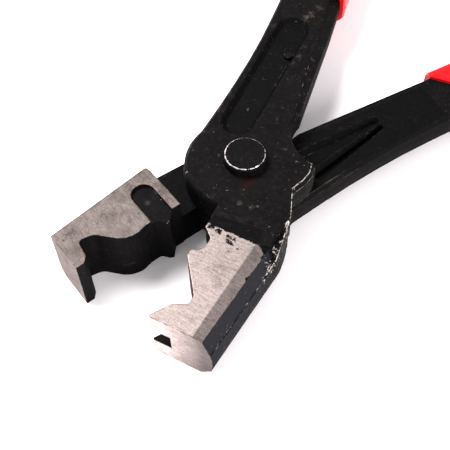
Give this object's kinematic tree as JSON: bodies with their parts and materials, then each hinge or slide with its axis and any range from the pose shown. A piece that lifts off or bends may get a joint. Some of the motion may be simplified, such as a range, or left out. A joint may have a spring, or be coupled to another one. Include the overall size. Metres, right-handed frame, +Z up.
{
  "type": "boot clamp pliers",
  "caption": "Forged steel boot clamp pliers with red dipped grips, a riveted lap joint and profiled, slotted jaws, shown part open.",
  "frame": {"origin": "on the pivot axis, at the flat bottom of the rivet's tail, level with the bases of both jaws", "axes": "+Z up along the pivot axis towards the rivet's head, +Y towards the handles half way between them, jaws towards -Y"},
  "size_m": [0.1126, 0.2044, 0.0201],
  "materials": {
    "blackened_steel": "blackened forging, satin, with ground bright jaw faces",
    "rivet_steel": "blackened steel, rim worn bright",
    "red_vinyl": "dipped, smooth and glossy"
  },
  "bodies": {
    "upper": {"upper_lever": "blackened_steel", "upper_grip": "red_vinyl"},
    "lower": {"lower_lever": "blackened_steel", "lower_grip": "red_vinyl", "pivot_rivet": "rivet_steel"}
  },
  "joints": [
    {"name": "pivot", "type": "hinge", "parent": "upper", "child": "lower", "pos_m": [0, 0, 0], "axis": [0, 0, 1], "range_deg": [-15, 25]}
  ]
}
